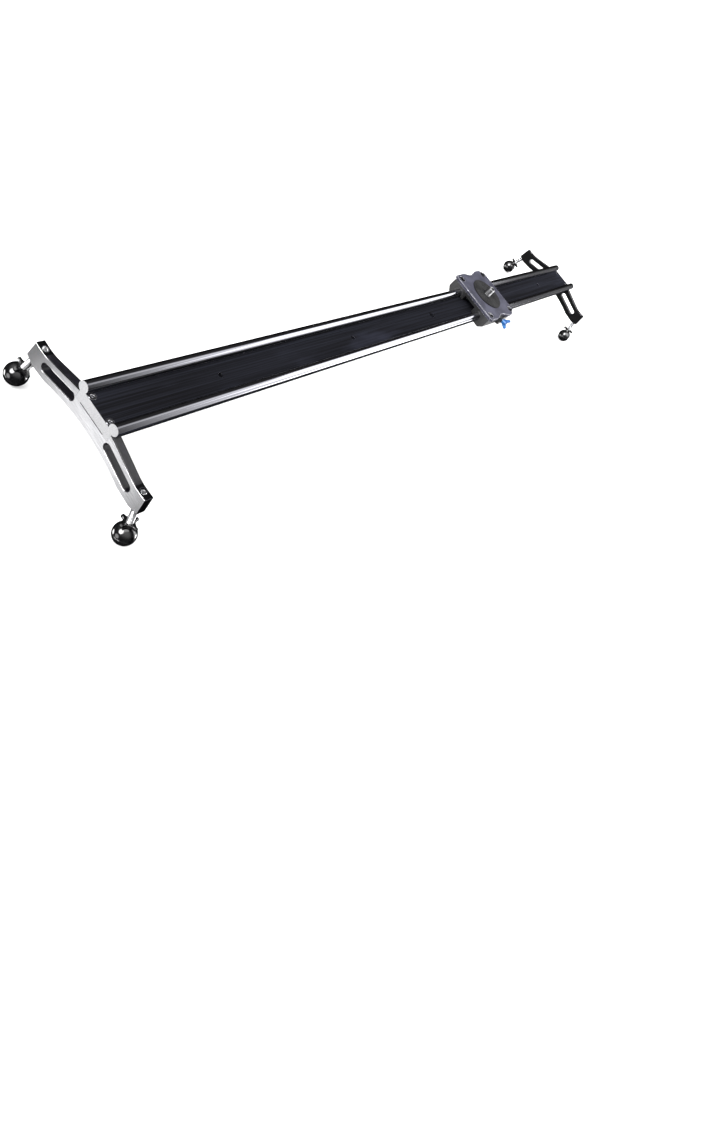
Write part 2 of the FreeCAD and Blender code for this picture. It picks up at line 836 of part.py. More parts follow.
def place_brake_piece(piece, distance=0):
    """Brake pieces stand on the shaft's centre line, with their own Z out along the screw."""
    out_y, out_z = -cosine(d.brake_tilt), sine(d.brake_tilt)
    place(piece, d.brake_x, out_y * distance - d.shaft_offset,
          shaft_height + out_z * distance, (1, 0, 0), 90 - d.brake_tilt)


def make_brake():
    pad_start = d.shaft_radius + d.brake_gap
    pad_end = pad_start + d.brake_pad_thickness
    brake_pad = new_body("brake_pad")
    disc = new_sketch(brake_pad, "XY_Plane", pad_start)
    ring(disc, 0, 0, d.brake_pad_radius)
    pad(brake_pad, disc, d.brake_pad_thickness)
    place_brake_piece(brake_pad)
    parts.append(brake_pad)

    screw = new_body("brake_screw")
    outline = new_sketch(screw, "XZ_Plane")
    radius, edge = d.brake_screw_radius, d.brake_screw_chamfer
    screw_end = pad_end + d.brake_screw_length
    trace(outline, [(0, pad_end), (radius - edge, pad_end), (radius, pad_end + edge),
                    (radius, screw_end), (0, screw_end)])
    revolve(screw, outline)
    place_brake_piece(screw)
    parts.append(screw)

    hub = new_body("brake_knob_hub")
    outline = new_sketch(hub, "XZ_Plane")
    start, end = d.knob_start, d.knob_start + d.knob_hub_length
    crown = end + d.knob_crown_rise
    trace(outline, [(0, screw_end), (radius, screw_end), (radius, start),
                    (d.knob_hub_radius, start), (d.knob_hub_radius, end),
                    (d.knob_crown_radius, crown), (0, crown)])
    revolve(hub, outline)
    place_brake_piece(hub)

    wings = new_body("brake_knob_wings")
    outline = new_sketch(wings, "YZ_Plane")
    reach, tip = d.knob_wing_reach, start + d.knob_wing_end
    root_half, root_low = d.knob_hub_radius, start + d.knob_root_rise
    shoulder, inner = tip - d.knob_tip_height, reach - d.knob_tip_width
    saddle = end + d.knob_saddle_rise
    tip_y, tip_z = rounding((reach, tip), (reach, shoulder), (inner, tip))
    trace(outline, [
        (-root_half, root_low),
        (root_half, root_low),
        (reach, shoulder),
        (inner, tip, d.knob_tip_radius, (tip_y, tip_z)),
        (0, saddle, d.knob_saddle_radius, (inner / 2, shoulder)),
        (-inner, tip, d.knob_saddle_radius, (-inner / 2, shoulder)),
        (-reach, shoulder, d.knob_tip_radius, (-tip_y, tip_z)),
    ])
    pad(wings, outline, d.knob_wing_thickness, symmetric=True)
    place_brake_piece(wings)
    cutter = cylinder("brake_knob_bore", radius, screw_end)
    place_brake_piece(cutter)
    whole = doc.addObject("Part::Fuse", "brake_knob_whole")
    whole.Base = hub
    whole.Tool = wings
    parts.append(carve("brake_knob", whole, [cutter]))


# ---------------------------------------------------------------- the whole slider

make_rail()
for end, way in ENDS.items():
    make_bracket(end, way)
    for side, hand in SIDES.items():
        foot = f"{end}_{side}"
        make_ball(foot, way, hand)
        make_stud(foot, way, hand)
        make_grip(foot, way, hand)
make_carriage_body()
for end, way in ENDS.items():
    for side, hand in SIDES.items():
        make_liner(end, way, side, hand)
make_plate()
make_head_mount()
make_brake()
doc.recompute()

for item in doc.Objects:
    if "Invalid" in item.State or "Error" in item.State:
        raise RuntimeError(f"{item.Label} failed: {item.State}")
os.makedirs("parts", exist_ok=True)
for piece in parts:
    if piece.Shape.isNull() or not piece.Shape.isValid():
        raise RuntimeError(f"{piece.Label} has no valid shape")
    box = piece.Shape.BoundBox
    print(f"{piece.Label:28s} {len(piece.Shape.Solids)} solids {piece.Shape.Volume:12.1f} mm3 "
          f"x {box.XMin:7.2f}..{box.XMax:7.2f} y {box.YMin:7.2f}..{box.YMax:7.2f} "
          f"z {box.ZMin:7.2f}..{box.ZMax:7.2f}")
    piece.Shape.exportStep(f"parts/{piece.Label}.step")
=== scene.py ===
import math

import bmesh
import bpy
from mathutils import Matrix, Vector


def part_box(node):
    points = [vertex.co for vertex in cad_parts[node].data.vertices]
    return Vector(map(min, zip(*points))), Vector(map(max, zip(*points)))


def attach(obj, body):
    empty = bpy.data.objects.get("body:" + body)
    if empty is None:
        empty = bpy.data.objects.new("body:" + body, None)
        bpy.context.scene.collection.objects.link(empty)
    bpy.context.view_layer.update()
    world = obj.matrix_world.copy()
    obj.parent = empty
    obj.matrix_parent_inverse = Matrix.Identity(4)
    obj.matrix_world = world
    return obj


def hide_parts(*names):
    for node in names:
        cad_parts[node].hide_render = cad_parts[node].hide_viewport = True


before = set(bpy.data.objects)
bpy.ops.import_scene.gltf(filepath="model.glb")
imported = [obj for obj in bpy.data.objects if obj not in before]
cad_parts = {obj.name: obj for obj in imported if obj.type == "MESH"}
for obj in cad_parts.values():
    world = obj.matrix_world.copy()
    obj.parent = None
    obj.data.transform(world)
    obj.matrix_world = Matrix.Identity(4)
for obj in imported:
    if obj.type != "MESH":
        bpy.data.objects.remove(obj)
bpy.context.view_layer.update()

# Everything is in metres, in the frame of the CAD model: X along the rail, Z up.
# "Near" is the end at -X, "far" the end at +X, "right" the side at -Y.
MM = 0.001
ENDS = {"near": -1, "far": 1}
SIDES = {"right": -1, "left": 1}
_, RAIL_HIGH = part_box("rail")
SHAFT_RADIUS = 5 * MM
SHAFT_Y = 20 * MM
SHAFT_Z = RAIL_HIGH.z - SHAFT_RADIUS
# Distances from the middle over which one finish gives way to the next: in Y, from the web to
# a shaft and from a bracket's arm to its tip, and in X, just inside the end faces at 500 mm.
WEB_EDGE = (15.2 * MM, 15.6 * MM)
TIP_EDGE = (60.2 * MM, 61.2 * MM)
RAIL_END = (499.80 * MM, 499.90 * MM)
BRACKET_FACE = (499.88 * MM, 499.96 * MM)


# ---------------------------------------------------------------- materials


class Nodes:
    """A shader node tree, wired by small calls that give sockets back."""

    def __init__(self, tree):
        self.tree = tree

    def add(self, kind, inputs=None, **settings):
        node = self.tree.nodes.new("ShaderNode" + kind)
        for name, value in settings.items():
            setattr(node, name, value)
        for name, value in (inputs or {}).items():
            self.wire(node.inputs[name], value)
        return node

    def wire(self, socket, value):
        if isinstance(value, bpy.types.NodeSocket):
            self.tree.links.new(value, socket)
        else:
            socket.default_value = value

    def parts(self, vector):
        return self.add("SeparateXYZ", {"Vector": vector}).outputs

    def math(self, operation, *values):
        node = self.add("Math", operation=operation)
        for socket, value in zip(node.inputs, values):
            self.wire(socket, value)
        return node.outputs["Value"]

    def spread(self, value, low, high, to_low=0.0, to_high=1.0):
        """value from low..high, smoothly to to_low..to_high."""
        inputs = {
            "Value": value,
            "From Min": low,
            "From Max": high,
            "To Min": to_low,
            "To Max": to_high,
        }
        return self.add("MapRange", inputs, interpolation_type="SMOOTHSTEP").outputs["Result"]

    def mix(self, factor, one, other):
        """Between two colours."""
        node = self.add("Mix", data_type="RGBA")
        self.wire(node.inputs[0], factor)
        self.wire(node.inputs[6], one)
        self.wire(node.inputs[7], other)
        return node.outputs[2]

    def blend(self, factor, one, other):
        """Between two numbers."""
        node = self.add("Mix", data_type="FLOAT")
        self.wire(node.inputs[0], factor)
        self.wire(node.inputs[2], one)
        self.wire(node.inputs[3], other)
        return node.outputs[0]


class Finish(Nodes):
    """A procedural material. Its pattern is laid out in metres on the piece itself."""

    def __init__(self, name):
        self.material = bpy.data.materials.new(name)
        self.material.use_nodes = True
        super().__init__(self.material.node_tree)
        self.shader = self.tree.nodes["Principled BSDF"]
        coords = self.add("TexCoord")
        self.place = coords.outputs["Object"]
        self.x, self.y, self.z = self.parts(self.place)
        self.facing_x, _, self.facing_z = self.parts(coords.outputs["Normal"])

    def noise(self, scale, stretch=(1, 1, 1), detail=3.0, roughness=0.55, turn=(0, 0, 0)):
        """Noise with `scale` blobs a metre, stretched along the axes."""
        layout = self.add("Mapping", {"Vector": self.place, "Scale": stretch, "Rotation": turn})
        inputs = {
            "Vector": layout.outputs[0],
            "Scale": scale,
            "Detail": detail,
            "Roughness": roughness,
        }
        return self.add("TexNoise", inputs).outputs["Fac"]

    def bump(self, height, depth):
        """Relief of `depth` metres."""
        inputs = {"Height": height, "Distance": depth, "Strength": 1.0}
        return self.add("Bump", inputs).outputs["Normal"]

    def finish(self, **inputs):
        names = {
            "colour": "Base Color",
            "metallic": "Metallic",
            "roughness": "Roughness",
            "specular": "Specular IOR Level",
            "normal": "Normal",
        }
        for name, value in inputs.items():
            self.wire(self.shader.inputs[names[name]], value)
        return self.material


def tone(red, green, blue):
    """A colour given as the eight-bit values a screen shows."""

    def linear(value):
        value /= 255
        return value / 12.92 if value <= 0.04045 else ((value + 0.055) / 1.055) ** 2.4

    return (linear(red), linear(green), linear(blue), 1.0)


def rail_black():
    """Black anodised extrusion: polished shafts, brushed web, raw sawn ends."""
    f = Finish("rail_black")
    side = f.math("ABSOLUTE", f.y)
    # the shafts are polished, but their undersides take the web's dark finish: painted shade along
    # their lower edge
    shaft_above_painted_shade = f.math("MULTIPLY", f.spread(side, *WEB_EDGE), f.spread(f.facing_z, 0.27, 0.43))
    streaks = f.noise(900, stretch=(0.006, 1, 1), detail=4)
    clouds = f.noise(22, stretch=(0.3, 1.2, 1), detail=3)
    web = f.mix(f.spread(streaks, 0.35, 0.75), tone(15, 15, 17), tone(30, 31, 37))
    web = f.mix(f.spread(clouds, 0.5, 0.72), web, tone(33, 34, 42))
    polished = (0.175, 0.175, 0.192, 1.0)
    black = f.mix(shaft_above_painted_shade, web, polished)
    gleam = f.math("MULTIPLY", f.spread(clouds, 0.42, 0.7), f.spread(streaks, 0.3, 0.7))
    web_gloss = f.blend(gleam, 0.001, 0.008)
    web_rough = f.blend(clouds, 0.28, 0.4)
    scuffs = f.noise(420, stretch=(0.02, 1, 1), detail=4)
    shaft_rough = f.blend(f.spread(scuffs, 0.5, 0.8), 0.1, 0.17)

    # the sawn ends: grain, and fine rings on the shafts
    end = f.spread(f.math("ABSOLUTE", f.x), *RAIL_END)
    across = f.math("SUBTRACT", side, SHAFT_Y)
    up = f.math("SUBTRACT", f.z, SHAFT_Z)
    squares = f.math("ADD", f.math("MULTIPLY", across, across), f.math("MULTIPLY", up, up))
    ring_pitch = 0.9 * MM
    rings = f.math("SINE", f.math("MULTIPLY", f.math("SQRT", squares), 2 * math.pi / ring_pitch))
    grain = f.noise(1500, detail=3)
    raw = f.mix(f.spread(grain, 0.35, 0.75), tone(206, 206, 208), tone(158, 158, 160))

    height = f.blend(end, streaks, f.math("ADD", f.math("MULTIPLY", rings, 0.25), grain))
    relief = f.bump(height, f.blend(end, f.blend(shaft_above_painted_shade, 0.004 * MM, 0.0), 0.03 * MM))
    return f.finish(
        colour=f.mix(end, black, raw),
        metallic=f.blend(end, shaft_above_painted_shade, 0.7),
        roughness=f.blend(end, f.blend(shaft_above_painted_shade, web_rough, shaft_rough), 0.4),
        specular=f.blend(end, web_gloss, 0.5),
        normal=relief,
    )


def bracket_black(end):
    """Black anodised plate whose outer face was milled bright afterwards."""
    f = Finish(f"bracket_black_{end}")
    outer = f.spread(f.math("ABSOLUTE", f.x), *BRACKET_FACE)
    outward = f.math("MULTIPLY", f.facing_x, float(ENDS[end]))
    bright = f.math("MULTIPLY", f.spread(outward, 0.3, 0.4), outer)
    mill_turn, streak_turn = math.radians(28), math.radians(35)
    milled = f.noise(1500, stretch=(1, 0.05, 1), detail=3, turn=(mill_turn, 0, 0))
    streaks = f.noise(1100, stretch=(0.5, 0.08, 1), detail=3, turn=(0, 0, streak_turn))
    tip = f.spread(f.math("ABSOLUTE", f.y), *TIP_EDGE)
    silver = f.mix(f.spread(milled, 0.3, 0.75), tone(226, 226, 228), tone(205, 205, 208))
    arm = f.mix(f.spread(streaks, 0.4, 0.7), tone(7, 6, 9), tone(22, 20, 28))
    # Faces along X that are not milled bright, the inner faces, are near-black and unglossy:
    # painted shade. The arm tips beyond TIP_EDGE are near-black and unglossy as well.
    inner_faces_painted_shade = f.spread(f.math("ABSOLUTE", f.facing_x), 0.7, 0.8)
    tips_and_painted_shade = f.math("MAXIMUM", tip, inner_faces_painted_shade)
    black = f.mix(tips_and_painted_shade, arm, tone(6, 6, 7))
    height = f.blend(bright, streaks, milled)
    return f.finish(
        colour=f.mix(bright, black, silver),
        metallic=f.blend(bright, 0.0, 0.96),
        roughness=f.blend(bright, f.blend(tip, 0.36, 0.3), f.blend(milled, 0.11, 0.19)),
        specular=f.blend(tips_and_painted_shade, 0.45, 0.05),
        normal=f.bump(height, f.blend(bright, 0.015 * MM, 0.004 * MM)),
    )


def moulded(name, colour, cloud, rough, grain_depth, specular=0.5, metallic=0.0):
    """Moulded plastic, a little cloudy, with a fine grain."""
    f = Finish(name)
    grain = f.noise(2400, detail=2)
    wear = f.noise(170, detail=4)
    return f.finish(
        colour=f.mix(f.spread(wear, 0.4, 0.75), colour, cloud),
        roughness=f.blend(f.spread(wear, 0.4, 0.8), rough, rough + 0.1),
        specular=specular,
        metallic=metallic,
        normal=f.bump(grain, grain_depth),
    )


def bead_blasted(name, tips_and_painted_shade, light, rough, depth, specular=0.4):
    """Anodised aluminium with a fine blasted grain."""
    f = Finish(name)
    grain = f.noise(3200, detail=2)
    clouds = f.noise(60, detail=4)
    return f.finish(
        colour=f.mix(f.spread(clouds, 0.35, 0.7), tips_and_painted_shade, light),
        roughness=f.blend(grain, rough - 0.06, rough + 0.1),
        specular=specular,
        normal=f.bump(grain, depth),
    )


def turned_steel(name, colour, rough):
    """Bright plated steel with faint turning marks."""
    f = Finish(name)
    marks = f.noise(1600, stretch=(0.2, 0.2, 1), detail=3)
    stain = f.noise(240, detail=4)
    return f.finish(
        colour=f.mix(f.spread(stain, 0.45, 0.8), colour, tone(150, 150, 152)),
        metallic=1.0,
        roughness=f.blend(f.spread(stain, 0.3, 0.8), rough, rough + 0.2),
        normal=f.bump(marks, 0.006 * MM),
    )


def worn_edge(name, colour, metallic):
    """An edge whose anodising is rubbed thin, in patches."""
    f = Finish(name)
    patches = f.noise(140, detail=5)
    scratches = f.noise(1800, detail=2)
    rubbed = f.spread(patches, 0.42, 0.66)
    dull = tuple(channel * 0.35 for channel in colour[:3]) + (1.0,)
    return f.finish(
        colour=f.mix(rubbed, dull, colour),
        metallic=f.blend(rubbed, 0.0, metallic),
        roughness=f.blend(scratches, 0.24, 0.42),
        specular=0.5,
        normal=f.bump(scratches, 0.006 * MM),
    )


def floor_white():
    """Seamless paper, very slightly cloudy."""
    f = Finish("floor_white")
    paper = f.mix(f.noise(3, detail=3), (0.86, 0.86, 0.86, 1), (0.9, 0.9, 0.9, 1))
    return f.finish(colour=paper, roughness=0.9, specular=0.0)


BALL_BLACK = moulded("ball_black", tone(8, 8, 9), tone(14, 14, 15), 0.09, 0.001 * MM, 1.0)
GRIP_BLACK = moulded("grip_black", tone(10, 10, 11), tone(18, 18, 19), 0.14, 0.004 * MM, 0.9)
STUD_STEEL = turned_steel("stud_steel", tone(226, 226, 228), 0.14)
SCREW_STEEL = turned_steel("screw_steel", tone(44, 44, 48), 0.22)
RAIL_SCREW_STEEL = turned_steel("rail_screw_steel", tone(160, 160, 164), 0.06)
HEAD_STEEL = turned_steel("head_steel", tone(150, 150, 152), 0.24)
BRAKE_BLUE = moulded(
    "brake_blue", tone(16, 68, 124), tone(44, 106, 164), 0.2, 0.004 * MM, 0.5, metallic=0.15
)
# The knob's edges are coloured a dark navy, darker than the knob: painted shade along its rounded
# edges, with rubbed patches.
BLUE_EDGE_PAINTED_SHADE = worn_edge("brake_blue_edge_painted_shade", tone(4, 34, 92), 0.1)
DARK_EDGE = worn_edge("dark_edge", tone(120, 120, 128), 0.6)
BRIGHT_EDGE = worn_edge("bright_edge", tone(232, 232, 240), 0.8)
CASTING = bead_blasted(
    "casting_black", tone(22, 22, 23), tone(34, 34, 35), 0.38, 0.008 * MM, specular=0.5
)
PLATE = bead_blasted(
    "plate_black", tone(48, 48, 57), tone(64, 64, 75), 0.4, 0.006 * MM, specular=0.05
)
LINER = moulded("liner_grey", tone(30, 30, 31), tone(44, 44, 46), 0.3, 0.006 * MM)
RUBBER = moulded("pad_rubber", tone(20, 20, 21), tone(34, 34, 35), 0.65, 0.02 * MM, 0.2)
BRAKE_PAD = moulded("brake_pad_grey", tone(60, 60, 62), tone(80, 80, 82), 0.5, 0.01 * MM)


# ---------------------------------------------------------------- shapes

SPOKES = 48


def circle(radius, height, spokes=SPOKES):
    """A level ring of points round the Z axis, or its one point at radius 0."""
    if radius == 0:
        return [Vector((0, 0, height))]
    turns = [2 * math.pi * step / spokes for step in range(spokes)]
    return [Vector((radius * math.cos(turn), radius * math.sin(turn), height)) for turn in turns]


def lathe(profile, spokes=SPOKES):
    """Rings from (radius, height) pairs in millimetres."""
    return [circle(radius * MM, height * MM, spokes) for radius, height in profile]


def hexagon(across, height):
    """A ring of points round a hexagon, in millimetres, as many as a circle has."""
    ring = []
    for step in range(SPOKES):
        turn = 2 * math.pi * step / SPOKES
        from_flat = turn % (math.pi / 3) - math.pi / 6
        reach = across / 2 / math.cos(from_flat)
        ring.append(Vector((reach * math.cos(turn), reach * math.sin(turn), height)) * MM)
    return ring


def socket(across, top, depth):
    """A chamfered hexagon socket sunk in a face at height top, down to a drilled point.

    In millimetres.
    """
    corner = across / math.sqrt(3)
    floor = top - depth
    return [
        circle((corner + 0.12) * MM, top * MM),
        hexagon(across, top - 0.14),
        hexagon(across, floor),
        circle(across * 0.42 * MM, (floor - 0.05) * MM),
        circle(0, (floor - 0.4) * MM),
    ]


def thread(low, high, radius, pitch, chamfer, rows=10):
    """A right-hand screw thread, in millimetres, chamfered at both ends.

    It has `rows` rings for each pitch.
    """
    depth = 0.58 * pitch
    steepness, root_flat = 1.35, 0.12
    count = round((high - low) / pitch * rows)
    rings = []
    for row in range(count + 1):
        level = low + (high - low) * row / count
        taper = min(level - low, high - level)
        limit = radius - max(0.0, chamfer - taper)
        ring = []
        for step in range(SPOKES):
            turn = 2 * math.pi * step / SPOKES
            phase = (level / pitch - step / SPOKES) % 1
            ridge = min(1.0, max(0.0, abs(2 * phase - 1) * steepness - root_flat))
            reach = min(radius - depth * (1 - ridge), limit)
            ring.append(Vector((reach * math.cos(turn), reach * math.sin(turn), level)) * MM)
        rings.append(ring)
    return rings


def build(name, shape, finishes, place=None, sharp=35):
    """An object from a bmesh, smooth except at edges sharper than `sharp` degrees.

    It stands where its mesh is, or at `place`.
    """
    mesh = bpy.data.meshes.new(name)
    bmesh.ops.recalc_face_normals(shape, faces=shape.faces)
    for face in shape.faces:
        face.smooth = True
    shape.to_mesh(mesh)
    shape.free()
    mesh.set_sharp_from_angle(angle=math.radians(sharp))
    for finish in finishes:
        mesh.materials.append(finish)
    piece = bpy.data.objects.new(name, mesh)
    bpy.context.scene.collection.objects.link(piece)
    if place is not None:
        piece.matrix_world = place
    return piece


def skin(shape, rings, loop=False):
    """Faces between each ring and the next. A ring of one point is a tip."""
    rows = [[shape.verts.new(point) for point in ring] for ring in rings]
    pairs = list(zip(rows, rows[1:]))
    if loop:
        pairs.append((rows[-1], rows[0]))
    for low, high in pairs:
        for step in range(max(len(low), len(high))):
            following = step + 1
            corners = [
                low[step % len(low)],
                low[following % len(low)],
                high[following % len(high)],
                high[step % len(high)],
            ]
            shape.faces.new(list(dict.fromkeys(corners)))


def stand_for(piece, node, body):
    """The piece is shown instead of that CAD node, and moves with the node's body."""
    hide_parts(node)
    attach(piece, body)


def turned(node, body, finish, profiles, place=None, loop=False, sharp=35):
    """A piece of one or more skins, standing for the node."""
    shape = bmesh.new()
    for rings in profiles:
        skin(shape, rings, loop)
    piece = build(node + "_visual", shape, [finish], place, sharp)
    stand_for(piece, node, body)


def softened(node, body, finish, edge_finish, radius, segments=2, angle=25):
    """The CAD node's own surface, its edges sharper than `angle` degrees rounded and worn."""
    shape = bmesh.new()
    shape.from_mesh(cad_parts[node].data)
    bmesh.ops.remove_doubles(shape, verts=shape.verts, dist=1e-6)
    bmesh.ops.dissolve_limit(
        shape, angle_limit=math.radians(0.5), verts=shape.verts, edges=shape.edges
    )
    limit = math.radians(angle)
    edges = [edge for edge in shape.edges if edge.is_manifold and edge.calc_face_angle() > limit]
    bmesh.ops.bevel(
        shape, geom=edges, offset=radius, offset_type="OFFSET", segments=segments,
        profile=0.5, affect="EDGES", clamp_overlap=True, material=1,
    )
    piece = build(node + "_visual", shape, [finish, edge_finish])
    level = piece.modifiers.new("flat_faces", "WEIGHTED_NORMAL")
    level.keep_sharp = True
    stand_for(piece, node, body)


# ---------------------------------------------------------------- feet

FOOT_SPLAY = math.radians(13.4)
# In millimetres. Heights are along the stud, from the ball's centre.
BALL_RADIUS = 10
BALL_FLAT = 9.2
BORE_RADIUS = 3.05
STUD_BOTTOM = 1.3
STUD_TOP = 46.3


def ball_profile():
    """A moulded ball: parting seam, drilled flat with a chamfer, and a bore for the stud."""
    seam, chamfer, steps = 0.12, 0.25, 40
    rows = []
    flat_angle = math.asin(BALL_FLAT / BALL_RADIUS)
    for step in range(steps + 1):
        angle = -math.pi / 2 + (flat_angle + math.pi / 2) * step / steps
        height = BALL_RADIUS * math.sin(angle)
        radius = 0 if step == 0 else BALL_RADIUS * math.cos(angle)
        rows.append((radius, height))
    middle = min(range(len(rows)), key=lambda index: abs(rows[index][1]))
    height = rows[middle][1]
    radius = rows[middle][0]
    rows[middle:middle + 1] = [
        (radius, height - seam),
        (radius - seam, height),
        (radius, height + seam),
    ]
    return rows + [
        (BORE_RADIUS + chamfer, BALL_FLAT),
        (BORE_RADIUS, BALL_FLAT - chamfer),
        (BORE_RADIUS, STUD_BOTTOM),
        (0, STUD_BOTTOM),
    ]


def star_outline():
    """The star grip's outline from above: four blunt points with hollows between them.

    A hollow is an arc through the corners of two neighbouring points and the waist between them.
    """
    tip, half, waist = 8.8, 1.1, 4.8 / math.sqrt(2)
    reach = (tip + half) / 2
    chord = (tip - half) / math.sqrt(2)
    sagitta = (reach - waist) * math.sqrt(2)
    hollow = (chord * chord + sagitta * sagitta) / (2 * sagitta)
    centre = waist + hollow / math.sqrt(2)
    sweep, half_steps = math.asin(chord / hollow), 6
    quarter = [Vector((tip, -half)), Vector((tip, 0)), Vector((tip, half))]
    for step in range(1, 2 * half_steps):
        angle = math.radians(225) + sweep * (1 - step / half_steps)
        x, y = centre + hollow * math.cos(angle), centre + hollow * math.sin(angle)
        quarter.append(Vector((x, y)))
    points = []
    for step in range(4):
        turn = step * math.pi / 2
        cos, sin = math.cos(turn), math.sin(turn)
        points += [Vector((p.x * cos - p.y * sin, p.x * sin + p.y * cos)) for p in quarter]
    return points


def star_ring(outline, inset, height):
    """The outline drawn in towards the axis by `inset`."""
    ring = []
    for point in outline:
        share = 1 - inset / point.length
        ring.append(Vector((point.x * share, point.y * share, height)) * MM)
    return ring


def ring_like(outline, radius, height):
    """A circle whose points stand in line with the outline's."""
    ring = []
    for point in outline:
        x, y = point.x / point.length, point.y / point.length
        ring.append(Vector((x * radius, y * radius, height)) * MM)
    return ring


def grip_rings():
    """The star grip: a collar that stands on the ball's flat, and the star above it."""
    outline = star_outline()
    collar = [(3.02, BALL_FLAT), (3.75, BALL_FLAT), (3.8, 9.3), (3.8, 10.75)]
    star = [(0.7, 10.6), (0.15, 10.85), (0.0, 11.3), (0.0, 12.9), (0.2, 13.35), (0.8, 13.62)]
    hub = [(3.9, 13.8), (3.3, 13.8), (3.02, 13.5)]
    return (
        [ring_like(outline, radius, height) for radius, height in collar]
        + [star_ring(outline, inset, height) for inset, height in star]
        + [ring_like(outline, radius, height) for radius, height in hub]
    )


def stud_rings():
    """An M6 stud with a hexagon socket in its top."""
    screw = thread(STUD_BOTTOM, STUD_TOP, radius=3, pitch=1.0, chamfer=0.5)
    return [circle(0, STUD_BOTTOM * MM)] + screw + socket(across=3, top=STUD_TOP, depth=3)


def make_feet():
    """Four feet: a ball, and a stud with its grip that screws through the bracket."""
    for end in ENDS:
        for side, hand in SIDES.items():
            foot = f"{end}_{side}"
            low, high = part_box(f"foot_ball_{foot}")
            middle = ((low.x + high.x) / 2, (low.y + high.y) / 2, low.z + BALL_RADIUS * MM)
            centre = Matrix.Translation(middle)
            tilt = Matrix.Rotation(hand * FOOT_SPLAY, 4, "X")
            # the ball's mesh is tilted, not its object, which keeps the object's box tight
            ball = [[tilt @ point for point in ring] for ring in lathe(ball_profile(), 64)]
            turned(
                f"foot_ball_{foot}", f"foot_ball_{foot}", BALL_BLACK,
                [ball], centre,
            )
            turned(
                f"foot_grip_{foot}", f"foot_screw_{foot}", GRIP_BLACK,
                [grip_rings()], centre @ tilt, loop=True, sharp=30,
            )
            turned(
                f"foot_stud_{foot}", f"foot_screw_{foot}", STUD_STEEL,
                [stud_rings()], centre @ tilt,
            )


# ---------------------------------------------------------------- screws, stud and pads


# Countersunk socket screws, in millimetres.
RAIL_SCREW = {
    "length": 19,
    "radius": 2,
    "head_radius": 3.4,
    "head_height": 2,
    "across": 2.5,
    "pitch": 0.7,
}
PLATE_SCREW = {
    "length": 13,
    "radius": 2.5,
    "head_radius": 4.6,
    "head_height": 2.6,
    "across": 3,
    "pitch": 0.8,
}
RAIL_SCREW_Y = 12 * MM
# The head's thread is 3/8 in, 16 turns an inch.
HEAD_THREAD = {"radius": 4.76, "pitch": 1.5875}
HEAD_THREAD_LENGTH = 10
PAD_RIDGES = 8


def flat_screw_rings(length, radius, head_radius, head_height, across, pitch):
    """A countersunk socket screw, head up, its top face at height 0."""
    rim, run_out = 0.18, 0.6
    shank = thread(-length, -head_height - run_out, radius, pitch, 0.6, rows=6)
    head = [
        (radius, -head_height - run_out / 2),
        (radius, -head_height),
        (head_radius, -2.2 * rim),
        (head_radius, -rim),
        (head_radius - rim, 0),
    ]
    return (
        [circle(0, -length * MM)] + shank + lathe(head) + socket(across, 0, head_height * 0.8)
    )


def shifted(rings, x, y, z):
    """The same rings, moved."""
    return [[point + Vector((x, y, z)) for point in ring] for ring in rings]


def make_screws():
    """Two screws hold the rail on each bracket, and four hold the carriage plate."""
    rings = flat_screw_rings(**RAIL_SCREW)
    for end in ENDS:
        low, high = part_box(f"rail_screws_{end}")
        middle = (low.x + high.x) / 2
        spots = [(middle, hand * RAIL_SCREW_Y, high.z) for hand in SIDES.values()]
        turned(
            f"rail_screws_{end}", "base", RAIL_SCREW_STEEL,
            [shifted(rings, *spot) for spot in spots],
        )
    low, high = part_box("plate_screws")
    head = PLATE_SCREW["head_radius"] * MM
    rings = flat_screw_rings(**PLATE_SCREW)
    spots = [
        (x, y, high.z)
        for x in (low.x + head, high.x - head)
        for y in (low.y + head, high.y - head)
    ]
    turned(
        "plate_screws", "carriage", SCREW_STEEL,
        [shifted(rings, *spot) for spot in spots],
    )


def make_head_mount():
    """The stud that a head screws on, and the ridged friction pad round it."""
    low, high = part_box("head_stud")
    place = Matrix.Translation(((low.x + high.x) / 2, 0, 0))
    bottom, top = low.z / MM, high.z / MM
    shoulder = top - HEAD_THREAD_LENGTH
    flange = [
        (0, bottom),
        (8.2, bottom),
        (8.5, bottom + 0.3),
        (8.5, bottom + 3.2),
        (8.2, bottom + 3.5),
        (5.2, bottom + 3.5),
        (5.2, shoulder - 0.2),
        (5.0, shoulder),
    ]
    screw = thread(shoulder, top, **HEAD_THREAD, chamfer=0.8)
    turned(
        "head_stud", "carriage", HEAD_STEEL,
        [lathe(flange) + screw + socket(across=4, top=top, depth=4)], place,
    )

    low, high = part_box("head_pad")
    bottom, top = low.z / MM, high.z / MM
    valley = top - 0.45
    profile = [(6.3, bottom), (23.8, bottom), (24, bottom + 0.2), (24, top - 0.3), (23.7, top)]
    for ridge in range(PAD_RIDGES):
        outer = 23.0 - 2.0 * ridge
        profile += [(outer, top), (outer - 0.3, valley), (outer - 0.7, valley), (outer - 1.0, top)]
    profile += [(6.6, top), (6.25, top - 0.3)]
    turned(
        "head_pad", "carriage", RUBBER,
        [lathe(profile, 96)], place, loop=True, sharp=25,
    )


# ---------------------------------------------------------------- brake

BRAKE_TILT = math.radians(12)
# In millimetres, along the brake screw from the right shaft's axis.
PAD_FACE = 5.6
SCREW_START = 9.6
SCREW_END = 25.6


